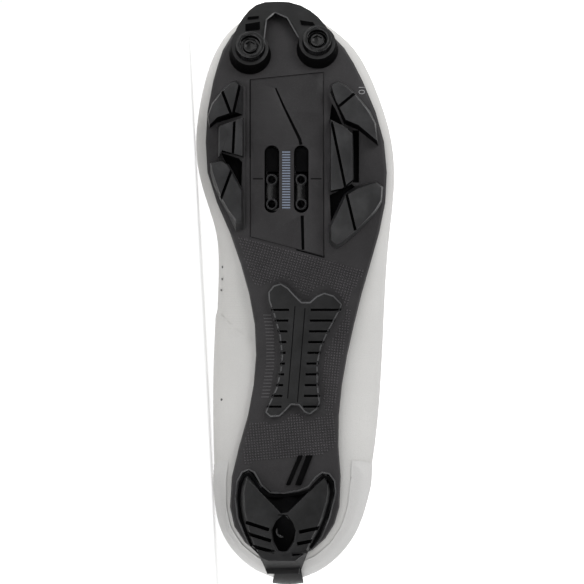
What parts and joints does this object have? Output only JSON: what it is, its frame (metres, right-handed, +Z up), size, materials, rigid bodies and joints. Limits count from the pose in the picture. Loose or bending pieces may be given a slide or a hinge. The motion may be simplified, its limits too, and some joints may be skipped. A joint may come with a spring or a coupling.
{
  "type": "cycling shoe",
  "caption": "Left off-road cycling shoe with a stiff lugged sole, cleat panel, hollow moulded upper, tongue and lace dial, lying on its medial side.",
  "frame": {"origin": "centre of the bounding box on the floor; the shoe lies on its medial side, with its sole facing -Y", "axes": "+X runs from the toe to the heel, +Y from the sole to the instep, +Z up, towards the shoe's lateral side"},
  "size_m": [0.2868, 0.1226, 0.0972],
  "materials": {
    "upper": "matt warm grey-white coated microfibre",
    "counter": "smooth satin heel overlay",
    "tongue": "soft padded textile",
    "insole": "dark textile on foam",
    "plate": "dark charcoal glass-filled nylon",
    "panel": "dark charcoal, fine grain",
    "rubber": "black moulded rubber with semi-gloss edges",
    "steel": "blackened steel",
    "dial": "black moulded plastic",
    "wire": "coated steel wire"
  },
  "bodies": {
    "root": {"upper": "upper", "heel_counter": "counter", "tongue": "tongue", "insole": "insole", "sole_plate": "plate", "cleat_panel": "panel", "cleat_nut_plate": "steel", "heel_screw": "steel", "toe_lug": "rubber", "toe_bumper": "rubber", "toe_stud_medial": "rubber", "toe_stud_lateral": "rubber", "medial_front_lug": "rubber", "medial_middle_lug": "rubber", "medial_rear_lug": "rubber", "lateral_front_lug": "rubber", "lateral_middle_lug": "rubber", "lateral_rear_lug": "rubber", "arch_pad": "rubber", "heel_lug": "rubber", "heel_strip": "rubber", "heel_bar_1": "rubber", "heel_bar_2": "rubber", "dial_base": "dial", "dial_knob": "dial", "lace_guide_medial_1": "dial", "lace_guide_medial_2": "dial", "lace_guide_medial_3": "dial", "lace_guide_lateral_1": "dial", "lace_guide_lateral_2": "dial", "lace_guide_lateral_3": "dial", "lace_wire": "wire"}
  },
  "joints": []
}
